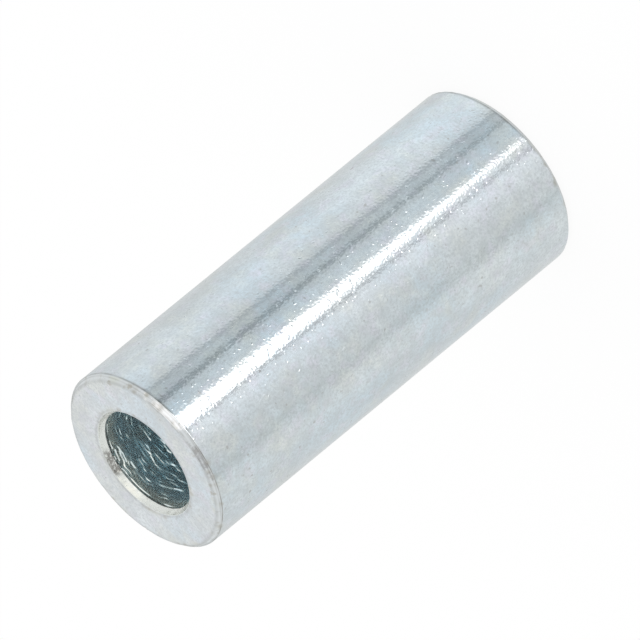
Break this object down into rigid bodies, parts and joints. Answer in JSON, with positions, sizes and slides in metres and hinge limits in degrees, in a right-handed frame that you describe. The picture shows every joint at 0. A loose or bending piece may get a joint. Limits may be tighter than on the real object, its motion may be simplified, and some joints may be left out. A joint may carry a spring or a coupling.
{
  "type": "spacer sleeve",
  "caption": "Plain round spacer sleeve of zinc-plated steel, chamfered at both ends, with a through bore for a machine screw.",
  "frame": {"origin": "centre of the lower end face, on the bore's axis", "axes": "+Z along the bore's axis, up from the end that the sleeve stands on"},
  "size_m": [0.008, 0.008, 0.02],
  "materials": {
    "zinc_plated_steel": "bright blue-white zinc plating on turned steel, satin to glossy, with fine pits"
  },
  "bodies": {
    "root": {"spacer_sleeve": "zinc_plated_steel"}
  },
  "joints": []
}
